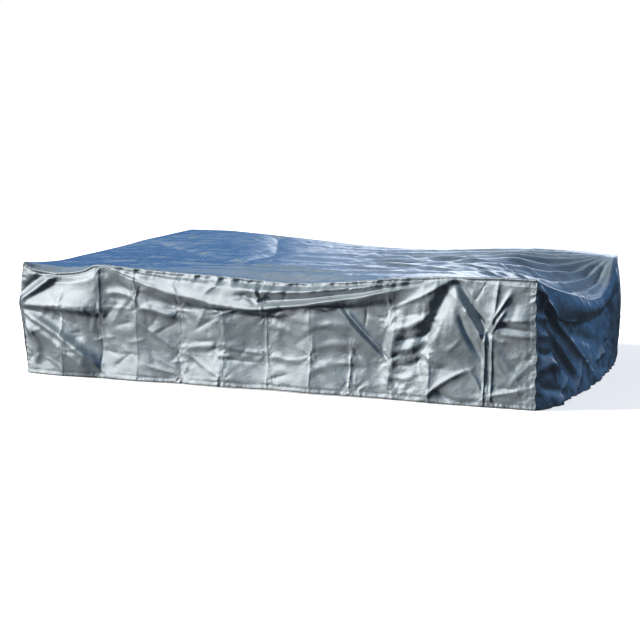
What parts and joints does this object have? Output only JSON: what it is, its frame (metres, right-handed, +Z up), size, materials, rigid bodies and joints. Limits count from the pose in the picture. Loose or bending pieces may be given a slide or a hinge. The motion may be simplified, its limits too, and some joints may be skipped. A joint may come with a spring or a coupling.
{
  "type": "patio furniture cover",
  "caption": "Fitted box cover of coated polyester for a low garden lounge set, sagging between the set's corners, with sewn edges and a hem along the ground",
  "frame": {"origin": "the middle of the cover's bounding box, on the ground that its hem reaches", "axes": "+X along the long side to the right, +Y from the front to the back, +Z up"},
  "size_m": [3.4139, 2.2127, 0.8082],
  "materials": {
    "cover_cloth": "silver-grey coated woven polyester, satin, with fine crinkles"
  },
  "bodies": {
    "root": {"top_panel": "cover_cloth", "front_panel": "cover_cloth", "right_panel": "cover_cloth", "back_panel": "cover_cloth", "left_panel": "cover_cloth"}
  },
  "joints": []
}
